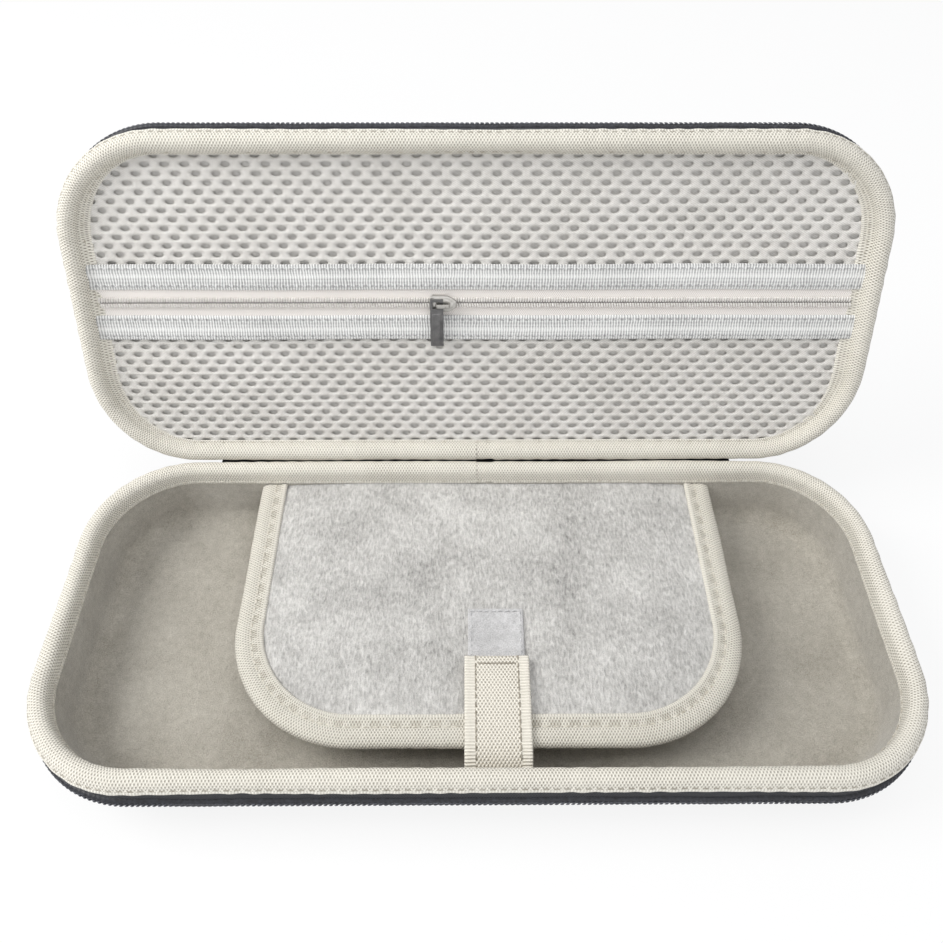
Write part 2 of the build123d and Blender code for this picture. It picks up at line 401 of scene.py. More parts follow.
def ribbed(name, low, high):
    """Silver grosgrain: upright ribs, a satin middle band painted lighter as painted sheen, and two rows
    of needle holes darkened as painted shade.
    """
    n = Nodes(name, 0.55, 0.2, 0.4)
    u, v = n.uv()
    drift = (n.noise(160.0, 2.0) - 0.5) * 0.0012
    height = n.wave(u + drift, 1.05) * 0.34 + n.wave(v, 1.7) * 0.1 + 0.5
    holes = (n.wave(u, 3.1) > 0.25) * bands(v, [(0.0012, 0.0021), (0.0082, 0.0088)])
    # The lighter middle band is painted sheen and the darker needle holes are painted shade.
    tone = height + bands(v, [(0.0046, 0.0066)]) * 0.28 - holes * 0.4
    tone = tone + (n.noise(1500.0, 3.0) - 0.5) * 0.5 + (n.noise(70.0, 4.0) - 0.5) * 0.35
    return n.finish(tone, [(0.05, low), (0.85, high)], height - holes, 0.0003)


def knit(name, low, high):
    """Fine warp knit, used for the mesh and its backing."""
    n = Nodes(name, 0.85, 0.2, 0.2)
    u, v = n.uv()
    height = n.wave(u, 0.62) * n.wave(v + u * 0.6, 0.75) * 0.5 + 0.5
    grain = n.noise(1400.0, 3.0, 0.65)
    tone = height * 0.45 + grain * 0.55 + (n.noise(40.0, 3.0) - 0.5) * 0.3
    return n.finish(tone, [(0.25, low), (0.75, high)], height + grain, 0.00025)


def plush(name, low, high, depth=0.0007, strokes=0.0):
    """Short pile: fine grain, clumps and patches where the pile was brushed another way."""
    n = Nodes(name, 1.0, 0.45, 0.1)
    stretch = n.tree.nodes.new("ShaderNodeMapping")
    stretch.inputs["Scale"].default_value = (1.0, 0.34, 1.0)
    stretch.inputs["Rotation"].default_value = (0.0, 0.0, 0.35)
    n.link(n.place(), stretch.inputs["Vector"])
    fibre = n.noise(1300.0, 3.0, 0.5, stretch.outputs[0])
    pile = n.noise(2100.0, 3.0, 0.7) * (1.0 - strokes) + fibre * strokes
    clump = n.noise(380.0, 3.0, 0.65)
    tone = pile * 0.5 + clump * 0.22 + n.noise(38.0, 4.0, 0.6) * 0.28
    return n.finish(tone, [(0.36, low), (0.64, high)], pile * 0.8 + clump * 0.7, depth)


def cover(name, low, high):
    """Dark woven cover bonded to moulded foam, the same from every side."""
    n = Nodes(name, 0.72, 0.1, 0.3)
    x, y, z = n.split(n.place())
    weave = n.wave(x + z, 0.9) * n.wave(y + z * -0.8, 0.9) * 0.5 + 0.5
    grain = n.noise(1500.0, 2.0)
    tone = weave * 0.5 + (n.noise(45.0, 4.0) + grain) * 0.25
    return n.finish(tone, [(0.2, low), (0.8, high)], weave + grain * 0.4, 0.00018)


def metal(name, low, high, rough, scale):
    """Plated metal with fine brushing and rubbed patches."""
    n = Nodes(name, rough, 0.0, 0.5, 1.0)
    wear = n.noise(scale, 5.0, 0.65)
    n.link(wear * 0.25 + (rough - 0.12), n.shader.inputs["Roughness"])
    return n.finish(wear, [(0.3, low), (0.7, high)], n.noise(5200.0, 2.0) + wear, 0.00004)


def nylon(name, low, high, rough):
    """Moulded or drawn nylon, such as coil teeth and thread."""
    n = Nodes(name, rough, 0.0, 0.4)
    tone = n.noise(900.0, 3.0, 0.6)
    return n.finish(tone, [(0.3, low), (0.7, high)], n.noise(4000.0, 2.0) + tone, 0.00006)


RIM_LIP = 0.0036
RIM_INNER = 0.0168
# The seam ranges below darken the binding and strap colours along their stitch lines as painted shade.
cream = woven(
    "cream_weave", linear(132, 125, 111), linear(240, 236, 225), 1.15, 2.0, 0.0003,
    selvage=[(0.0, RIM_LIP), (RIM_INNER, 0.03)], seam=[(RIM_LIP, RIM_LIP + 0.0006)],
)
cream_flap = woven(
    "flap_binding_weave", linear(126, 119, 105), linear(228, 224, 213), 1.1, 1.9, 0.0003,
    selvage=[(0.0, 0.0018)], seam=[(0.003, 0.0054)], rib_pitch=1.0, hole_pitch=6.8, hole_depth_and_shade=0.5,
)
webbing = woven(
    "strap_webbing", linear(134, 125, 108), linear(242, 237, 225), 1.9, 1.25, 0.0004,
    selvage=[(-0.012, -0.0078), (0.0078, 0.012)], seam=[(-0.0078, -0.0073), (0.0073, 0.0078)],
)
ribbon_cloth = ribbed("silver_ribbon", linear(156, 156, 156), linear(244, 244, 242))
white_tape = woven("white_zip_tape", linear(206, 199, 193), linear(246, 241, 236), 0.8, 1.2, 0.00012)
dark_tape = woven("dark_zip_tape", linear(8, 9, 12), linear(38, 40, 46), 0.9, 1.2, 0.00018, 0.7)
spine_cloth = woven("spine_fabric", linear(12, 13, 17), linear(50, 52, 58), 0.9, 1.3, 0.0002, 0.8)
mesh_cloth = knit("mesh_knit", linear(216, 212, 204), linear(254, 252, 248))
mesh_back = knit("mesh_backing", linear(222, 219, 213), linear(252, 250, 245))
flap_plush = plush("flap_plush", linear(140, 138, 135), linear(230, 228, 224), 0.0011, 0.6)
lining_plush = plush("lining_plush", linear(150, 144, 132), linear(206, 201, 190))
lid_plush = plush("lid_lining_plush", linear(150, 145, 137), linear(196, 191, 183))
shell_cover = cover("shell_cover", linear(14, 15, 19), linear(46, 48, 54))
dark_coil = nylon("dark_coil", linear(12, 13, 17), linear(50, 52, 60), 0.4)
# Black coil thread given a lighter grey tone as painted glints along the two stitch rows.
dark_thread_painted_glints = nylon("dark_thread_painted_glints", linear(44, 46, 54), linear(120, 122, 130), 0.45)
white_coil = nylon("white_coil", linear(206, 202, 197), linear(242, 239, 235), 0.45)
# Grey of the pocket zip's groove strip: painted shade between the coil rows.
painted_groove_shade = nylon("painted_groove_shade", linear(118, 115, 112), linear(152, 149, 146), 0.6)
cream_thread = nylon("cream_thread", linear(170, 162, 146), linear(232, 228, 217), 0.7)
# Strap thread: the cream thread darkened as painted shade of the sunk stitch lines.
cream_thread_painted_shade = nylon("cream_thread_painted_shade", linear(122, 115, 102), linear(168, 161, 148), 0.7)
silver_thread = nylon("silver_thread", linear(150, 150, 151), linear(226, 226, 226), 0.55)
hook_tape = plush("hook_tape", linear(160, 159, 159), linear(222, 221, 221), 0.0003)
slider_metal = metal("slider_metal", linear(138, 136, 132), linear(196, 194, 190), 0.3, 300.0)
pull_metal = metal("pull_metal", linear(76, 76, 77), linear(114, 113, 113), 0.36, 220.0)

# Rim bindings: a woven strip folded over each rim, with a turned edge outside and stitching inside
outer_turn = [
    (1.2, -4.6), (0.5, -5.2), (-0.2, -5.25), (-0.55, -4.8), (-0.6, -4.25), (-0.42, -3.7),
    (-0.12, -3.35), (0.06, -3.15),
]
rim_top = arc(3.5, -3.75, 3.42, 168, 0, 17)
base_rim = outer_turn + rim_top + [
    (7.05, -4.2), (7.15, -5.2), (7.2, -6.2), (7.35, -7.0), (7.5, -7.7), (7.2, -8.2), (6.5, -8.25),
]
lid_rim = outer_turn + rim_top + [
    (7.1, -3.9), (7.5, -4.5), (8.2, -4.75), (8.9, -4.8), (9.5, -4.9), (9.7, -5.2), (9.5, -5.6),
]


def rim_stitch(place, column, inset, depth, slope, facing):
    """Place, direction and normal of a stitch beside the rim. facing is its normal in the profile."""
    x, y, nx, ny, _ = column
    out = inset + facing[0]
    spot, ahead, normal = place([
        (x - nx * inset, y - ny * inset, depth),
        (x - nx * inset + ny, y - ny * inset - nx, depth + slope),
        (x - nx * out, y - ny * out, depth + facing[1]),
    ])
    return spot, ahead - spot, (normal - spot) / np.linalg.norm(normal - spot)


def lid_flare(nx):
    """The lid's binding lies further over the mesh at its two ends."""
    return 0.5 + 1.2 * nx * nx


for half, place, seed, profile in (("base", base_at, 3, base_rim), ("lid", lid_at, 8, lid_rim)):
    columns = rim_columns(0.0, LENGTH, 1.6)

    def rim_push(s, step, seed=seed):
        soft = waves(s, seed, 0.28, 3, 14)
        pucker = waves(s, seed + 1, 0.16, 60, 130)
        edge = 0.3 + 1.1 * np.abs(step / step[-1] - 0.5)
        lap = -0.35 if s < 7.0 else 0.0
        shape = np.clip(np.minimum(step, step[-1] - step) / 2.0, 0, 1)
        return (soft * 0.6 + pucker * edge + lap) * shape

    flare = None if half == "base" else lid_flare
    points, uv, rows = sweep(columns, profile, rim_push, flare)
    make_mesh(
        half + "_rim_roll", place(points), grid_faces(len(columns), rows), cream, half, uv,
        half == "lid", nodes=[half + "_rim_binding"],
    )
    places = []
    facing = (1.0, 0.0) if half == "base" else (0.3, 1.0)
    for column in rim_columns(1.0, LENGTH - 1.0, 4.2):
        inset, depth = (7.4, -6.6) if half == "base" else (RIM + 1.1 * lid_flare(column[2]), -4.72)
        places.append(rim_stitch(place, column, inset, depth, 0.0, facing))
    add_stitches(half + "_rim_stitches", places, cream_thread, half, 2.2, 0.2)


# Shell covers and plush linings
def tub_profile(inset, top, height, edge, reach):
    """Wall, rounded edge and floor of a tub, from the top down."""
    centre = inset + (height - edge) * DRAFT + edge / math.cos(math.atan(DRAFT))
    wall_end = height - edge - edge * math.sin(math.atan(DRAFT))
    wall = [(inset + t * DRAFT, -t) for t in np.linspace(top, wall_end, 9)]
    bend = arc(centre, -height + edge, edge, 180 + math.degrees(math.atan(DRAFT)), 270, 12)[1:]
    floor = [(u, -height) for u in np.linspace(centre, reach, 7)[1:]]
    return wall + bend + floor


def tub(name, profile, place, material, body, flip, push=None, nodes=()):
    """A tub swept round the rim, closed by a flat middle."""
    columns = rim_columns(0.0, LENGTH, 2.4)[:-1]
    points, uv, rows = sweep(columns, profile, push)
    count = len(columns)
    faces = grid_faces(count, rows)
    for j in range(rows - 1):
        faces.append(((count - 1) * rows + j, j, j + 1, (count - 1) * rows + j + 1))
    faces.append(tuple(i * rows + rows - 1 for i in range(count)))
    return make_mesh(name, place(points), faces, material, body, uv, flip, nodes=nodes)


for half, place, height, lining in (
    ("base", base_at, BASE_H, lining_plush), ("lid", lid_at, LID_H, lid_plush),
):
    mirrored = half == "lid"
    tub(
        half + "_cover", tub_profile(SHELL_IN, 1.8, height, EDGE, 39.0), place, shell_cover, half,
        mirrored, nodes=[half + "_shell"],
    )

    def lining_push(s, step, seed=5 if mirrored else 11):
        soft = waves(s, seed, 0.3, 4, 22)
        return soft * np.clip(step / 6.0, 0, 1) * np.clip((step[-1] - step) / 30.0, 0, 1)

    inner = tub_profile(LINING_IN, 7.4, height - WALL - 1.0, EDGE - WALL - 1.0, 38.0)
    tub(
        half + "_plush", inner, place, lining, half, mirrored, lining_push, nodes=[half + "_lining"],
    )

# Main zip: tape and sewn coil on each half, open at the rear
for half, place, seed in (("base", base_at, 21), ("lid", lid_at, 27)):
    mirrored = half == "lid"
    start = SPINE_HALF + 1.0
    columns = rim_columns(start, LENGTH - start, 2.2)
    band = [
        (0.7, -3.9), (0.45, -6.0), (0.35, -8.0), (0.3, -11.0), (0.5, -14.9), (0.8, -15.1), (1.2, -14.9),
        (1.35, -11.0), (1.4, -8.0), (1.4, -3.9),
    ]

    def tape_push(s, step, seed=seed):
        return np.full(len(step), waves(s, seed, 0.18, 5, 30)) * np.clip(step / 5.0, 0, 1)

    points, uv, rows = sweep(columns, band, tape_push)
    make_mesh(
        half + "_tape", place(points), grid_faces(len(columns), rows), dark_tape, half, uv, mirrored,
        nodes=[half + "_zip_tape"],
    )
    bead = [
        (0.6, -11.2), (-0.2, -11.3), (-0.85, -11.7), (-1.05, -12.4), (-0.8, -13.0), (-1.05, -13.6),
        (-0.85, -14.4), (-0.2, -14.8), (0.6, -14.9),
    ]
    columns = rim_columns(start + 3.0, LENGTH - start - 3.0, 0.6)

    def coil_push(s, step, seed=seed):
        tooth = 0.16 * math.cos(2 * math.pi * s / 1.8)
        return (tooth + waves(s, seed, 0.18, 5, 30)) * np.clip(np.minimum(step, step[-1] - step), 0, 1)

    points, uv, rows = sweep(columns, bead, coil_push)
    make_mesh(
        half + "_coil", place(points), grid_faces(len(columns), rows), dark_coil, half, uv, mirrored,
        nodes=[half + "_zip_coil"],
    )
    places = []
    for column in rim_columns(start + 4.0, LENGTH - start - 4.0, 1.8):
        for height in (-12.35, -13.7):
            places.append(rim_stitch(place, column, -1.12, height, -0.35, (-1.0, 0.0)))
    # The coil stitches' lighter grey is painted glints on black thread.
    add_stitches(half + "_coil_stitches", places, dark_thread_painted_glints, half, 1.5, 0.2)

# Fabric spine, one strip sewn to both halves, with its slack folded out at the rear
spine_line = [
    (65.3, 20.0), (65.9, 24.0), (66.3, 27.2), (67.6, 28.3), (70.0, 27.0), (72.6, 26.6), (74.0, 28.6),
]
low_lid = lid_at([(0, 66.5, -8.0), (0, 66.1, -11.0), (0, 65.7, -14.0)]) * MM
spine_line += [(float(p[1]), float(p[2])) for p in low_lid]


def smooth_line(points, count):
    """A soft curve through points, evenly spaced."""
    p = np.array(points, float)
    p = np.vstack([2 * p[0] - p[1], p, 2 * p[-1] - p[-2]])
    out = []
    for i in range(1, len(p) - 2):
        for t in np.linspace(0, 1, 12, endpoint=False):
            a, b, c, d = p[i - 1], p[i], p[i + 1], p[i + 2]
            square = (2 * a - 5 * b + 4 * c - d) * t * t
            cube = (3 * b - a - 3 * c + d) * t ** 3
            out.append(0.5 * (2 * b + (c - a) * t + square + cube))
    out.append(p[-2])
    out = np.array(out)
    s = np.r_[0, np.cumsum(np.linalg.norm(np.diff(out, axis=0), axis=1))]
    q = np.linspace(0, s[-1], count)
    return np.c_[[np.interp(q, s, out[:, k]) for k in range(out.shape[1])]].T, s[-1]


line, spine_length = smooth_line(spine_line, 40)
points = []
uv = []
xs = np.linspace(-SPINE_HALF, SPINE_HALF, 110)
for x in xs:
    for j, (y, z) in enumerate(line):
        t = j / (len(line) - 1)
        fold = math.sin(math.pi * t) * (0.35 * math.sin(x * 0.21) + 0.25 * math.sin(x * 0.093 + 1.0))
        points.append((x, y + fold, z - fold * 0.5))
        uv.append((x / MM, t * spine_length / MM))
spine = make_mesh(
    "spine", row_at(points), grid_faces(len(xs), len(line)), spine_cloth, None, uv, True,
    nodes=["base_spine_leaf", "lid_spine_leaf"],
)
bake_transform(spine)


# Mesh pocket in the lid
def panel_z(x, y):
    """Height of the slack pocket front, flat where the slider runs."""
    edge = np.minimum(np.minimum(PANEL_HALF - np.abs(x), 60.0 - np.abs(y)), 20.0) / 20.0
    swell = 0.5 * np.sin(x * 0.043 + 0.6) + 0.35 * np.sin(x * 0.027 - y * 0.06)
    swell = swell + 0.3 * np.sin(y * 0.11 + x * 0.01)
    calm = np.clip((np.abs(y - POCKET_Y) - 7.0) / 20.0, 0, 1)
    return MESH_Z + calm * np.clip(edge, 0, 1) * swell * 0.8


def to_panel(x, y, inset):
    """Moves a point that lies outside the panel's rounded outline onto it."""
    hx = WIDTH / 2 - inset
    hy = DEPTH / 2 - inset
    r = CORNER - inset
    cx = min(max(x, -hx + r), hx - r)
    cy = min(max(y, -hy + r), hy - r)
    dx, dy = x - cx, y - cy
    d = math.hypot(dx, dy)
    if d > r:
        return cx + dx * r / d, cy + dy * r / d
    return x, y


HOLE_X = 7.25
HOLE_Y = 3.3
ring_steps = [
    (-0.5, 0), (-0.5, 0.5), (-0.25, 0.5), (0, 0.5), (0.25, 0.5), (0.5, 0.5), (0.5, 0), (0.5, -0.5),
    (0.25, -0.5), (0, -0.5), (-0.25, -0.5), (-0.5, -0.5),
]
ring_angles = [180, 156, 122, 90, 58, 24, 0, -24, -58, -90, -122, -156]


def mesh_panel(name, y_low, y_high, node):
    """Knitted mesh with staggered oval holes, modelled hole by hole."""
    columns = int(2 * PANEL_HALF / HOLE_X) + 2
    rows = int(round((y_high - y_low) / HOLE_Y))
    step_y = (y_high - y_low) / rows
    points = []
    uv = []
    faces = []
    shared = {}

    def corner(x, y, level):
        px, py = to_panel(x, y, PANEL_INSET)
        key = (round(px, 3), round(py, 3), level)
        if key not in shared:
            shared[key] = len(points)
            lift = 0.22 if level == "top" else -0.55
            points.append((px, py, panel_z(px, py) + lift))
            uv.append((px / MM, py / MM))
        return shared[key]

    for r in range(rows):
        cy = y_low + (r + 0.5) * step_y
        shift = 0.5 if r % 2 else 0.0
        for c in range(columns):
            cx = (c - columns / 2 + shift) * HOLE_X
            qx, qy = to_panel(cx, cy, PANEL_INSET)
            if abs(qx - cx) > 2.5 or abs(qy - cy) > 1.4:
                continue
            tops, lows, holes, backs = [], [], [], []
            lean = 0.12 * math.sin(cx * 0.13 + cy * 0.4)
            for (ex, ey), a in zip(ring_steps, ring_angles):
                tops.append(corner(cx + ex * HOLE_X, cy + ey * step_y, "top"))
                lows.append(corner(cx + ex * HOLE_X, cy + ey * step_y, "low"))
                hx = qx + (1.78 + lean) * math.cos(math.radians(a))
                hy = qy + (1.12 - lean * 0.5) * math.sin(math.radians(a))
                hx, hy = to_panel(hx, hy, PANEL_INSET + 0.1)
                z = panel_z(hx, hy)
                holes.append(len(points))
                points.append((hx, hy, z - 0.05))
                uv.append((hx / MM, hy / MM))
                backs.append(len(points))
                points.append((hx, hy, z - 0.5))
                uv.append((hx / MM, hy / MM + 0.0005))
            for k in range(12):
                m = (k + 1) % 12
                for face in (
                    (tops[k], tops[m], holes[m], holes[k]),
                    (holes[k], holes[m], backs[m], backs[k]),
                    (backs[k], backs[m], lows[m], lows[k]),
                ):
                    if len(set(face)) == 4:
                        faces.append(face)
    piece = make_mesh(
        name, lid_at(points), faces, mesh_cloth, "lid", uv, False, nodes=[node],
    )


def mesh_backing(name, y_low, y_high):
    """The closed back face of the spacer mesh, seen through its holes."""
    xs = np.linspace(-148.4, 148.4, 82)
    ys = np.linspace(y_low, y_high, 15)
    points = []
    uv = []
    for x in xs:
        for y in ys:
            px, py = to_panel(x, y, PANEL_INSET)
            points.append((px, py, panel_z(px, py) - 1.15))
            uv.append((x / MM, y / MM))
    piece = make_mesh(
        name, lid_at(points), grid_faces(len(xs), len(ys)), mesh_back, "lid", uv, False,
    )


mesh_backing("mesh_front_back", -60.2, POCKET_Y - 10.5)
mesh_backing("mesh_rear_back", POCKET_Y + 10.5, 60.2)
mesh_panel("mesh_front_panel", -60.3, POCKET_Y - 10.5, "mesh_upper")
mesh_panel("mesh_rear_panel", POCKET_Y + 10.5, 60.3, "mesh_lower")


def lid_strip(name, y_low, y_high, z_low, z_high, material, node, zero, crown=0.0):
    """A flat sewn strip across the lid, following the slack of the mesh. V is measured from zero."""
    xs = np.linspace(-PANEL_HALF - 0.2, PANEL_HALF + 0.2, 150)
    across = [(y_low, z_low), (y_low, z_high - 0.15), (y_low + 0.25, z_high)]
    across += [(y, z_high + crown) for y in np.linspace(y_low + 1.0, y_high - 1.0, 6)]
    across += [(y_high - 0.25, z_high), (y_high, z_high - 0.15), (y_high, z_low)]
    points = []
    uv = []
    for x in xs:
        for y, z in across:
            drift = 0.12 * math.sin(x * 0.06 + y * 0.02)
            points.append((x, y + drift, panel_z(x, y) + z))
            uv.append((x / MM, abs(y - zero) / MM))
    make_mesh(
        name, lid_at(points), grid_faces(len(xs), len(across)), material, "lid", uv, False,
        nodes=[node],
    )


def lid_stitches(name, rows, pitch, size, thick, z, material):
    """Straight stitch rows across the lid."""
    places = []
    for y in rows:
        for x in np.arange(-144.0, 144.0, pitch):
            h = panel_z(x, y) + z
            spot, ahead, up = lid_at([(x, y, h), (x + 1, y, h), (x, y, h + 1)])
            places.append((spot, ahead - spot, (up - spot) / np.linalg.norm(up - spot)))
    add_stitches(name, places, material, "lid", size, thick)


for name, side in (("upper", -1), ("lower", 1)):
    a = POCKET_Y + side * 5.3
    b = POCKET_Y + side * 15.3
    lid_strip(
        "ribbon_" + name, min(a, b), max(a, b), 0.0, 1.0, ribbon_cloth, "pocket_ribbon_" + name,
        a, 0.15,
    )
    lid_stitches(
        "ribbon_stitches_" + name, [a + side * 1.6, b - side * 1.5], 3.1, 1.7, 0.2, 1.1, silver_thread,
    )
    a = POCKET_Y + side * 0.1
    b = POCKET_Y + side * 6.5
    lid_strip(
        "zip_tape_" + name, min(a, b), max(a, b), -0.6, 0.35, white_tape, "pocket_tape_" + name,
        a,
    )

# Grey strip under the meeting teeth of the two coil rows, its grey painted shade in the groove between
# them
points = []
xs = np.linspace(-145.0, 145.0, 150)
for x in xs:
    for reach, h in ((-0.42, 0.3), (-0.2, 0.62), (0.2, 0.62), (0.42, 0.3)):
        y = POCKET_Y + reach
        points.append((x, y, panel_z(x, y) + h))
make_mesh(
    "zip_groove_shade_strip", lid_at(points), grid_faces(len(xs), 4), painted_groove_shade, "lid", None, False,
)

# Pocket coil: two rows of teeth that meet along the middle
for name, side in (("upper", -1), ("lower", 1)):
    points = []
    faces = []
    pitch = 1.0
    shift = 0.0 if side < 0 else pitch / 2
    for x in np.arange(-145.0 + shift, 145.0, pitch):
        first = len(points)
        stations = [(0.16, 0.3), (0.3, 0.8), (0.8, 0.95), (1.4, 1.0), (1.85, 0.9), (2.15, 0.4)]
        for reach, fat in stations:
            y = POCKET_Y + side * reach
            h = panel_z(x, y) + 0.75
            for k in range(8):
                a = 2 * math.pi * k / 8
                tooth_x = x + 0.43 * fat * math.cos(a) + 0.16 * (reach - 1.2)
                points.append((tooth_x, y, h + 0.62 * fat * math.sin(a)))
        for i in range(len(stations) - 1):
            for k in range(8):
                m = (k + 1) % 8
                near = first + i * 8
                far = near + 8
                faces.append((near + k, far + k, far + m, near + m))
        faces.append(tuple(first + k for k in range(8)))
        faces.append(tuple(first + (len(stations) - 1) * 8 + k for k in reversed(range(8))))
    make_mesh(
        "pocket_teeth_" + name, lid_at(points), faces, white_coil, "lid", None, side > 0,
        nodes=["pocket_coil_" + name],
    )


# Pocket slider and its pull
def solid_blocks(name, blocks, place, material, body, nodes):
    """A rigid piece of bevelled plates.

    Each has a plan, two heights, a bevel, and True where the plan stands upright.
    """
    points = []
    faces = []
    for plan, low, high, bevel, upright in blocks:
        bm = bmesh.new()
        ring = [bm.verts.new((x, y, low)) for x, y in plan]
        face = bm.faces.new(ring)
        grown = bmesh.ops.extrude_face_region(bm, geom=[face])
        for v in grown["geom"]:
            if isinstance(v, bmesh.types.BMVert):
                v.co.z = high
        bmesh.ops.recalc_face_normals(bm, faces=bm.faces[:])
        bmesh.ops.bevel(
            bm, geom=bm.edges[:], offset=bevel, segments=3, profile=0.6, affect="EDGES",
            clamp_overlap=True,
        )
        bmesh.ops.recalc_face_normals(bm, faces=bm.faces[:])
        first = len(points)
        bm.verts.index_update()
        for v in bm.verts:
            points.append((v.co.x, v.co.z, v.co.y) if upright else tuple(v.co))
        for f in bm.faces:
            loop = [first + v.index for v in f.verts]
            faces.append(tuple(reversed(loop)) if upright else tuple(loop))
        bm.free()
    return make_mesh(name, place(points), faces, material, body, flip=True, nodes=nodes)


def slider_place(points):
    return lid_at(np.array(points, float) + np.array([SLIDER_X, POCKET_Y, MESH_Z]))


def leaf(back, nose, front, half, tip):
    """Plan of a slider plate, with rounded rear corners and a narrow nose."""
    return [
        (back, -half + 1.3), (back + 0.4, -half + 0.4), (back + 1.3, -half), (nose, -half), (
            nose + 1.4, -half + 0.55,
        ),
        (front - 0.4, -tip), (front, -tip + 0.5), (front, tip - 0.5), (front - 0.4, tip), (
            nose + 1.4, half - 0.55,
        ),
        (nose, half), (back + 1.3, half), (back + 0.4, half - 0.4), (back, half - 1.3),
    ]


arch = [
    (-2.8, 2.7), (-2.8, 4.7), (-2.55, 5.2), (-2.1, 5.45), (2.1, 5.45), (2.55, 5.2), (2.8, 4.7),
    (2.8, 2.7), (2.0, 2.7), (2.0, 4.3), (1.7, 4.6), (-1.7, 4.6), (-2.0, 4.3), (-2.0, 2.7),
]
slider_blocks = [
    (leaf(-5.2, 1.8, 5.2, 3.2, 1.5), 1.7, 2.55, 0.3, False),
    (leaf(-4.6, 1.6, 4.3, 2.4, 0.9), 2.5, 2.85, 0.15, False),
    (leaf(-5.2, 1.8, 5.2, 3.2, 1.5), -2.4, -1.3, 0.3, False),
    ([(-4.2, 2.5), (0.8, 2.5), (0.8, 3.2), (-4.2, 3.2)], 0.3, 1.75, 0.15, False),
    ([(-4.2, -3.2), (0.8, -3.2), (0.8, -2.5), (-4.2, -2.5)], 0.3, 1.75, 0.15, False),
    ([(0.3, -0.3), (3.3, -0.3), (3.3, 0.3), (0.3, 0.3)], -1.4, 1.75, 0.1, False),
    (arch, -0.8, 0.8, 0.22, True),
]
solid_blocks(
    "pocket_slider_body", slider_blocks, slider_place, slider_metal, "pocket_slider", ["pocket_slider"],
)


def pull_place(points):
    return lid_at(np.array(points, float) + np.array([SLIDER_X - 2.4, POCKET_Y, MESH_Z + 3.7]))


def flat_pull(name, material, body, node):
    """A flat pull with a loop at its top and a sunk panel, hanging along +Y."""
    xs = [-2.5, -1.6, 1.6, 2.5]
    ys = [-2.25, -1.35, 1.35, 3.3, 15.9, 16.75]
    bm = bmesh.new()
    grid = [[bm.verts.new((x, y, 0.5)) for y in ys] for x in xs]
    top = []
    panel = None
    for i in range(3):
        for j in range(5):
            if (i, j) == (1, 1):
                continue
            face = bm.faces.new((grid[i][j], grid[i + 1][j], grid[i + 1][j + 1], grid[i][j + 1]))
            top.append(face)
            if (i, j) == (1, 3):
                panel = face
    low = bmesh.ops.extrude_face_region(bm, geom=top, use_keep_orig=True)
    for v in low["geom"]:
        if isinstance(v, bmesh.types.BMVert):
            v.co.z = -0.5
    bmesh.ops.inset_region(bm, faces=[panel], thickness=0.22, depth=-0.3)
    bmesh.ops.recalc_face_normals(bm, faces=bm.faces[:])
    sharp = [e for e in bm.edges if len(e.link_faces) == 2 and e.calc_face_angle(0.0) > 0.6]
    bmesh.ops.bevel(
        bm, geom=sharp, offset=0.24, segments=3, profile=0.6, affect="EDGES", clamp_overlap=True,
    )
    bmesh.ops.recalc_face_normals(bm, faces=bm.faces[:])
    bm.verts.index_update()
    points = [tuple(v.co) for v in bm.verts]
    faces = [tuple(v.index for v in f.verts) for f in bm.faces]
    bm.free()
    make_mesh(name, pull_place(points), faces, material, body, flip=True, nodes=[node])


flat_pull("pocket_pull_tab", pull_metal, "pocket_pull", "pocket_pull")


# Inner flap and its binding
def flap_half(y, inset=0.0):
    """Half width of the flap's outline, moved inward, at a distance from the hinge."""
    centre = FLAP_HALF - FLAP_CORNER
    down = min(max(FLAP_FRONT + FLAP_CORNER - y, 0.0), FLAP_CORNER - inset)
    return centre + math.sqrt(max((FLAP_CORNER - inset) ** 2 - down * down, 0.0))


def flap_gap(x, y):
    """Distance of a point on the flap from its free edge."""
    dx = abs(x - FLAP_X) - (FLAP_HALF - FLAP_CORNER)
    dy = FLAP_FRONT + FLAP_CORNER - y
    if dy <= 0:
        return FLAP_CORNER - dx
    if dx <= 0:
        return FLAP_CORNER - dy
    return FLAP_CORNER - math.hypot(dx, dy)


def flap_lift(x, y):
    """Crown of the padded flap above its edge."""
    gap = flap_gap(x, y)
    swell = 1.5 * (1 - math.exp(-max(gap - FLAP_EDGE + 1.5, 0.0) / 8.0))
    ripple = 0.3 * math.sin(x * 0.07 + 0.5) * math.sin(y * 0.09) + 0.22 * math.sin(x * 0.031 + y * 0.05)
    rear = max(0.0, y - 40.0) / 20.0
    return swell + ripple * min(1.0, max(gap - FLAP_EDGE, 0.0) / 10.0) - 0.8 * rear * rear


points = []
uv = []
ys = np.r_[np.linspace(FLAP_REAR + 0.2, -4.5, 34), np.linspace(-6.0, FLAP_FRONT + 2.05, 34)]
cells = np.linspace(-1.0, 1.0, 97)
for y in ys:
    half = flap_half(y, 2.0)
    for a in cells:
        x = FLAP_X + a * half
        points.append((x, y, FLAP_TOP + flap_lift(x, y)))
        uv.append((x / MM, y / MM))
    for a in cells[::-1]:
        x = FLAP_X + a * half
        points.append((x, y, FLAP_TOP - FLAP_THICK))
        uv.append((x / MM, y / MM))
flap_faces = grid_faces(len(ys), 2 * len(cells), True)
flap_faces.append(tuple(range(2 * len(cells)))[::-1])
flap_faces.append(tuple((len(ys) - 1) * 2 * len(cells) + k for k in range(2 * len(cells))))
flap = make_mesh(
    "flap_pad", row_at(points), flap_faces, flap_plush, "base", uv, True, nodes=["inner_flap"],
)


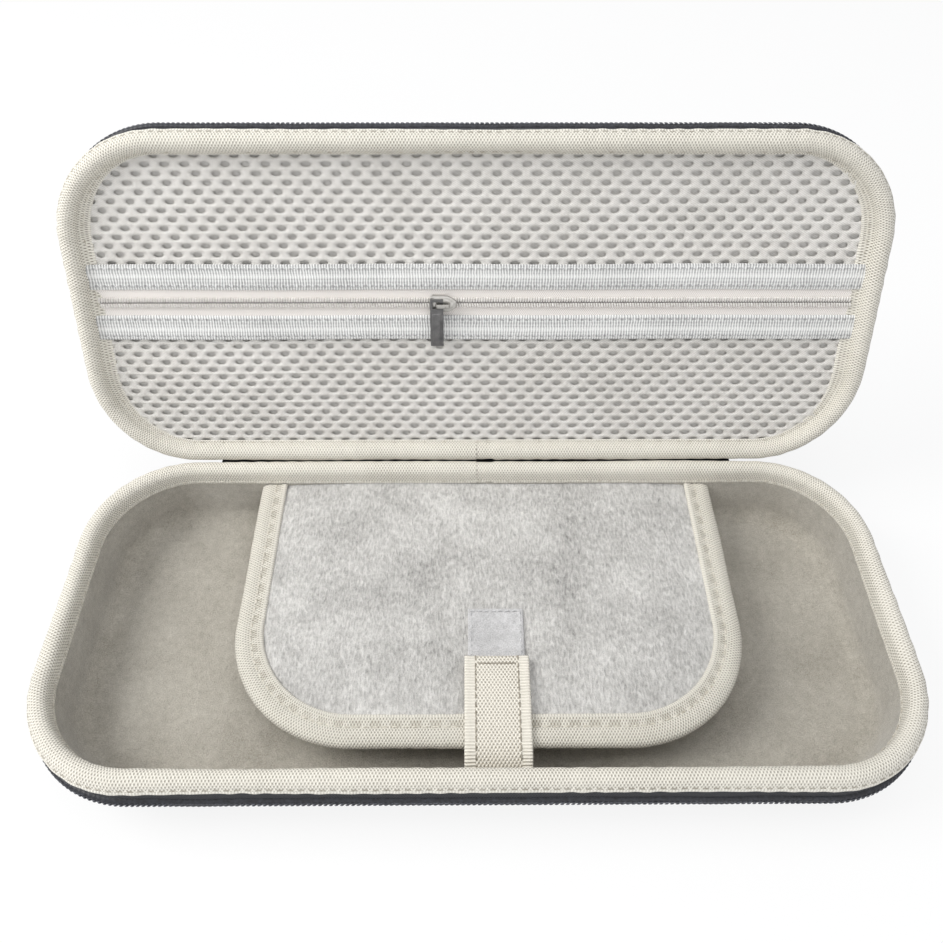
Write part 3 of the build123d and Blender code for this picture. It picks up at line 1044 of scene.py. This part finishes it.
def flap_path(step):
    """Columns along the flap's free edge: left side, front and right side."""
    bend = FLAP_FRONT + FLAP_CORNER
    run = FLAP_REAR - bend
    arc_length = FLAP_CORNER * math.pi / 2
    front = 2 * (FLAP_HALF - FLAP_CORNER)
    total = 2 * run + 2 * arc_length + front
    rows = []
    for s in np.linspace(0, total, int(total / step)):
        if s < run:
            y = FLAP_REAR - s
            rows.append((FLAP_X - flap_half(y), y, -1.0, 0.0, s))
        elif s < run + arc_length:
            a = (s - run) / FLAP_CORNER
            n = (-math.cos(a), -math.sin(a))
            rows.append((FLAP_X - front / 2 + FLAP_CORNER * n[0], bend + FLAP_CORNER * n[1], *n, s))
        elif s < run + arc_length + front:
            x = -(FLAP_HALF - FLAP_CORNER) * (1 - 2 * (s - run - arc_length) / front)
            rows.append((FLAP_X + x, FLAP_FRONT, 0.0, -1.0, s))
        elif s < run + 2 * arc_length + front:
            a = (s - run - arc_length - front) / FLAP_CORNER
            n = (math.sin(a), -math.cos(a))
            rows.append((FLAP_X + front / 2 + FLAP_CORNER * n[0], bend + FLAP_CORNER * n[1], *n, s))
        else:
            y = bend + (s - run - 2 * arc_length - front)
            rows.append((FLAP_X + flap_half(y), y, 1.0, 0.0, s))
    return np.array(rows), total


columns, flap_total = flap_path(1.7)
flap_edge = (
    [
        (10.7, FLAP_TOP + 0.2), (10.55, FLAP_TOP + 0.8), (10.0, FLAP_TOP + 1.15), (9.1, FLAP_TOP + 1.1),
        (8.2, FLAP_TOP + 0.85),
    ]
    + [
        (7.0, FLAP_TOP + 0.6), (6.2, FLAP_TOP + 0.45), (5.4, FLAP_TOP + 0.65), (3.8, FLAP_TOP + 0.85),
        (2.6, FLAP_TOP + 0.6),
    ]
    + arc(2.5, FLAP_TOP - 2.2, 2.55, 100, 260, 11)
    + [(3.6, FLAP_TOP - 5.1), (10.3, FLAP_TOP - 5.1), (10.6, FLAP_TOP - 4.6)]
)


def edge_push(s, step):
    pucker = waves(s, 41, 0.16, 40, 90, flap_total)
    soft = waves(s, 42, 0.22, 3, 12, flap_total)
    return -(pucker * (0.4 + 0.6 * np.exp(-step / 3.0)) + soft * 0.5) * np.clip(step, 0, 1)


points, uv, rows = sweep(columns, flap_edge, edge_push)
make_mesh(
    "flap_edge_binding", row_at(points), grid_faces(len(columns), rows), cream_flap, "base", uv, True,
    nodes=["flap_binding"],
)
places = []
for x, y, nx, ny, s in flap_path(3.4)[0]:
    spot = row_at([(x - nx * 6.2, y - ny * 6.2, FLAP_TOP + 0.55)])[0]
    places.append((spot, np.array([ny, -nx, 0.0]), UP))
add_stitches("flap_stitches", places, cream_thread, "base", 2.3, 0.28)


# Hook patch, loop pad and strap
def top_of_flap(y):
    return FLAP_TOP + flap_lift(STRAP_X, y)


def pad_strip(name, y_low, y_high, wide, low, thick, material, node):
    """A thin sewn patch that follows the flap."""
    ys = np.linspace(y_low, y_high, 30)
    across = [(-0.5, 0.0), (-0.5, 0.7), (-0.485, 0.95), (-0.46, 1.0)]
    across += [(t, 1.0) for t in np.linspace(-0.4, 0.4, 7)]
    across += [(0.46, 1.0), (0.485, 0.95), (0.5, 0.7), (0.5, 0.0)]
    points = []
    uv = []
    for i, y in enumerate(ys):
        end = min(1.0, 0.55 + min(i, len(ys) - 1 - i) * 0.25)
        for t, h in across:
            points.append((STRAP_X + t * wide, y, top_of_flap(y) + low + h * thick * end))
            uv.append((y / MM, t * wide / MM))
    return make_mesh(
        name, row_at(points), grid_faces(len(ys), len(across)), material, "base", uv, False,
        nodes=[node],
    )


def hook_thread(x, y):
    """Place of a stitch on the hook patch."""
    return row_at([(STRAP_X + x, y, top_of_flap(y) + 1.05)])[0]


pad_strip("hook_pad", -38.0, 0.0, 20.5, -0.3, 1.3, hook_tape, "hook_patch")
pad_strip("loop_pad", -37.5, -20.5, 20.0, 0.9, 0.7, hook_tape, "strap_loop_pad")
places = []
for x in np.arange(-8.6, 8.7, 2.6):
    places.append((hook_thread(x, -1.3), ACROSS, UP))
for y in np.arange(-36.0, -2.0, 2.6):
    for x in (-9.0, 9.0):
        places.append((hook_thread(x, y), AHEAD, UP))
add_stitches("hook_stitches", places, silver_thread, "base", 2.0, 0.26)

over = top_of_flap(-30.0) + 1.6
strap_line, strap_length = smooth_line(
    [
        (-20.0, over + 0.9), (-28.0, over + 0.9), (-36.0, over + 0.8), (-41.0, over + 0.2),
        (-46.0, FLAP_TOP + 2.0), (-50.8, FLAP_TOP + 1.3), (-55.2, FLAP_TOP - 0.8),
        (-57.8, FLAP_TOP - 4.0), (-58.4, FLAP_TOP - 9.0), (-58.1, FLAP_TOP - 13.0),
    ],
    70,
)
section = [(-0.5, 0.0), (-0.492, 0.42), (-0.47, 0.5), (-0.43, 0.5), (-0.41, 0.42)]
section += [(t, 0.42) for t in np.linspace(-0.36, 0.36, 13)]
section += [(0.41, 0.42), (0.43, 0.5), (0.47, 0.5), (0.492, 0.42), (0.5, 0.0)]
section += [(0.47, -0.5), (0.2, -0.5), (-0.2, -0.5), (-0.47, -0.5)]
direction = np.gradient(strap_line, axis=0)
direction /= np.linalg.norm(direction, axis=1)[:, None]
rise = np.c_[direction[:, 1], -direction[:, 0]]
points = []
uv = []
for i, (y, z) in enumerate(strap_line):
    s = strap_length * i / (len(strap_line) - 1)
    for t, h in section:
        curl = 0.35 * (2 * t) ** 2 * math.exp(-s / 9.0)
        lift = h * 1.5 + curl
        points.append((STRAP_X + t * STRAP_W, y + rise[i, 0] * lift, z + rise[i, 1] * lift))
        uv.append((s / MM, t * STRAP_W / MM))
faces = grid_faces(len(strap_line), len(section), True)
faces.append(tuple(range(len(section))))
faces.append(tuple((len(strap_line) - 1) * len(section) + k for k in reversed(range(len(section)))))
strap = make_mesh(
    "webbing_strap", row_at(points), faces, webbing, "base", uv, False, nodes=["strap"],
)
places = []
for i in range(1, len(strap_line) - 20, 4):
    y, z = strap_line[i] + rise[i] * 0.75
    along = np.array([0, *direction[i]])
    for x in (-7.55, 7.55):
        places.append((row_at([(STRAP_X + x, y, z)])[0], along, np.array([0, *rise[i]])))
y, z = strap_line[4]
for x in np.arange(-6.0, 6.1, 1.5):
    places.append((row_at([(STRAP_X + x, y, z + 0.7)])[0], ACROSS, UP))
# The strap's stitches use the cream thread darkened as painted shade.
add_stitches("strap_stitches", places, cream_thread_painted_shade, "base", 2.0, 0.26)

# Carried CAD metal at the rear ends of the main zip
for name in ("main_slider_left", "main_slider_right", "main_pull_left", "main_pull_right"):
    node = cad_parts[name]
    node.data.materials.clear()
    node.data.materials.append(pull_metal)


# Stage: pale floor, soft studio light and the photograph's camera
def seen_directly(tree):
    """1 for rays from the camera, from shiny surfaces and through clear ones."""
    paths = tree.nodes.new("ShaderNodeLightPath")
    total = paths.outputs["Is Camera Ray"]
    for kind in ("Is Glossy Ray", "Is Transmission Ray"):
        node = tree.nodes.new("ShaderNodeMath")
        node.operation = "MAXIMUM"
        tree.links.new(total, node.inputs[0])
        tree.links.new(paths.outputs[kind], node.inputs[1])
        total = node.outputs[0]
    return total


floor_material = bpy.data.materials.new("pale_floor")
floor_material.use_nodes = True
tree = floor_material.node_tree
floor_shader = tree.nodes["Principled BSDF"]
floor_shader.inputs["Base Color"].default_value = (0.9, 0.9, 0.9, 1.0)
floor_shader.inputs["Roughness"].default_value = 0.9
glow = tree.nodes.new("ShaderNodeEmission")
glow.inputs["Color"].default_value = (1.0, 1.0, 1.0, 1.0)
glow.inputs["Strength"].default_value = 1.0
share = tree.nodes.new("ShaderNodeMath")
share.operation = "MULTIPLY"
share.inputs[1].default_value = 0.86
tree.links.new(seen_directly(tree), share.inputs[0])
mix = tree.nodes.new("ShaderNodeMixShader")
tree.links.new(share.outputs[0], mix.inputs[0])
tree.links.new(floor_shader.outputs[0], mix.inputs[1])
tree.links.new(glow.outputs[0], mix.inputs[2])
tree.links.new(mix.outputs[0], tree.nodes["Material Output"].inputs[0])
floor_mesh = bpy.data.meshes.new("floor")
floor_mesh.from_pydata(
    [(-4, -4, -0.0002), (4, -4, -0.0002), (4, 4, -0.0002), (-4, 4, -0.0002)], [], [(0, 1, 2, 3)],
)
floor_mesh.materials.append(floor_material)
floor = bpy.data.objects.new("floor", floor_mesh)
bpy.context.scene.collection.objects.link(floor)

world = bpy.data.worlds.new("studio")
bpy.context.scene.world = world
world.use_nodes = True
tree = world.node_tree
back = tree.nodes["Background"]
back.inputs["Color"].default_value = (0.94, 0.96, 1.0, 1.0)
back.inputs["Strength"].default_value = 0.5
white = tree.nodes.new("ShaderNodeBackground")
white.inputs["Color"].default_value = (1.0, 1.0, 1.0, 1.0)
white.inputs["Strength"].default_value = 1.0
mix = tree.nodes.new("ShaderNodeMixShader")
tree.links.new(seen_directly(tree), mix.inputs[0])
tree.links.new(back.outputs[0], mix.inputs[1])
tree.links.new(white.outputs[0], mix.inputs[2])
tree.links.new(mix.outputs[0], tree.nodes["World Output"].inputs[0])


def area_light(name, at, target, size, power, colour):
    """A soft square light aimed at a point."""
    data = bpy.data.lights.new(name, "AREA")
    data.energy = power
    data.size = size
    data.color = colour
    lamp = bpy.data.objects.new(name, data)
    lamp.location = at
    lamp.rotation_mode = "QUATERNION"
    lamp.rotation_quaternion = (Vector(target) - Vector(at)).to_track_quat("-Z", "Y")
    bpy.context.scene.collection.objects.link(lamp)


area_light("key", (-0.85, 0.0, 0.85), (0, 0.03, 0.03), 0.6, 10.0, (1.0, 0.99, 0.97))
area_light("fill", (0.2, -1.1, 0.6), (0, 0.07, 0.08), 0.9, 2.6, (1.0, 0.99, 0.98))
area_light("top", (0.1, 0.0, 1.2), (0, 0.02, 0.02), 0.8, 3.8, (1.0, 1.0, 1.0))

PICTURE = 943.0
SENSOR = 36.0
FOCAL = 900.0
PITCH = math.radians(47.29)
YAW = math.radians(0.51)
ROLL = math.radians(0.26)
forward = Vector((math.sin(YAW) * math.cos(PITCH), math.cos(YAW) * math.cos(PITCH), -math.sin(PITCH)))
level = Vector((math.cos(YAW), -math.sin(YAW), 0.0))
upward = level.cross(forward)
right = level * math.cos(ROLL) + upward * math.sin(ROLL)
upward = upward * math.cos(ROLL) - level * math.sin(ROLL)
camera_data = bpy.data.cameras.new("camera")
camera_data.sensor_width = SENSOR
camera_data.lens = FOCAL / PICTURE * SENSOR
camera_data.shift_y = -68.3 / PICTURE
camera_data.clip_start = 0.01
camera_data.clip_end = 20.0
camera = bpy.data.objects.new("camera", camera_data)
turn = Matrix((right, upward, -forward)).transposed()
camera.matrix_world = Matrix.Translation(Vector((-0.0042, -0.1711, 0.3252))) @ turn.to_4x4()
bpy.context.scene.collection.objects.link(camera)
bpy.context.scene.camera = camera
bpy.context.scene.view_settings.view_transform = "Standard"
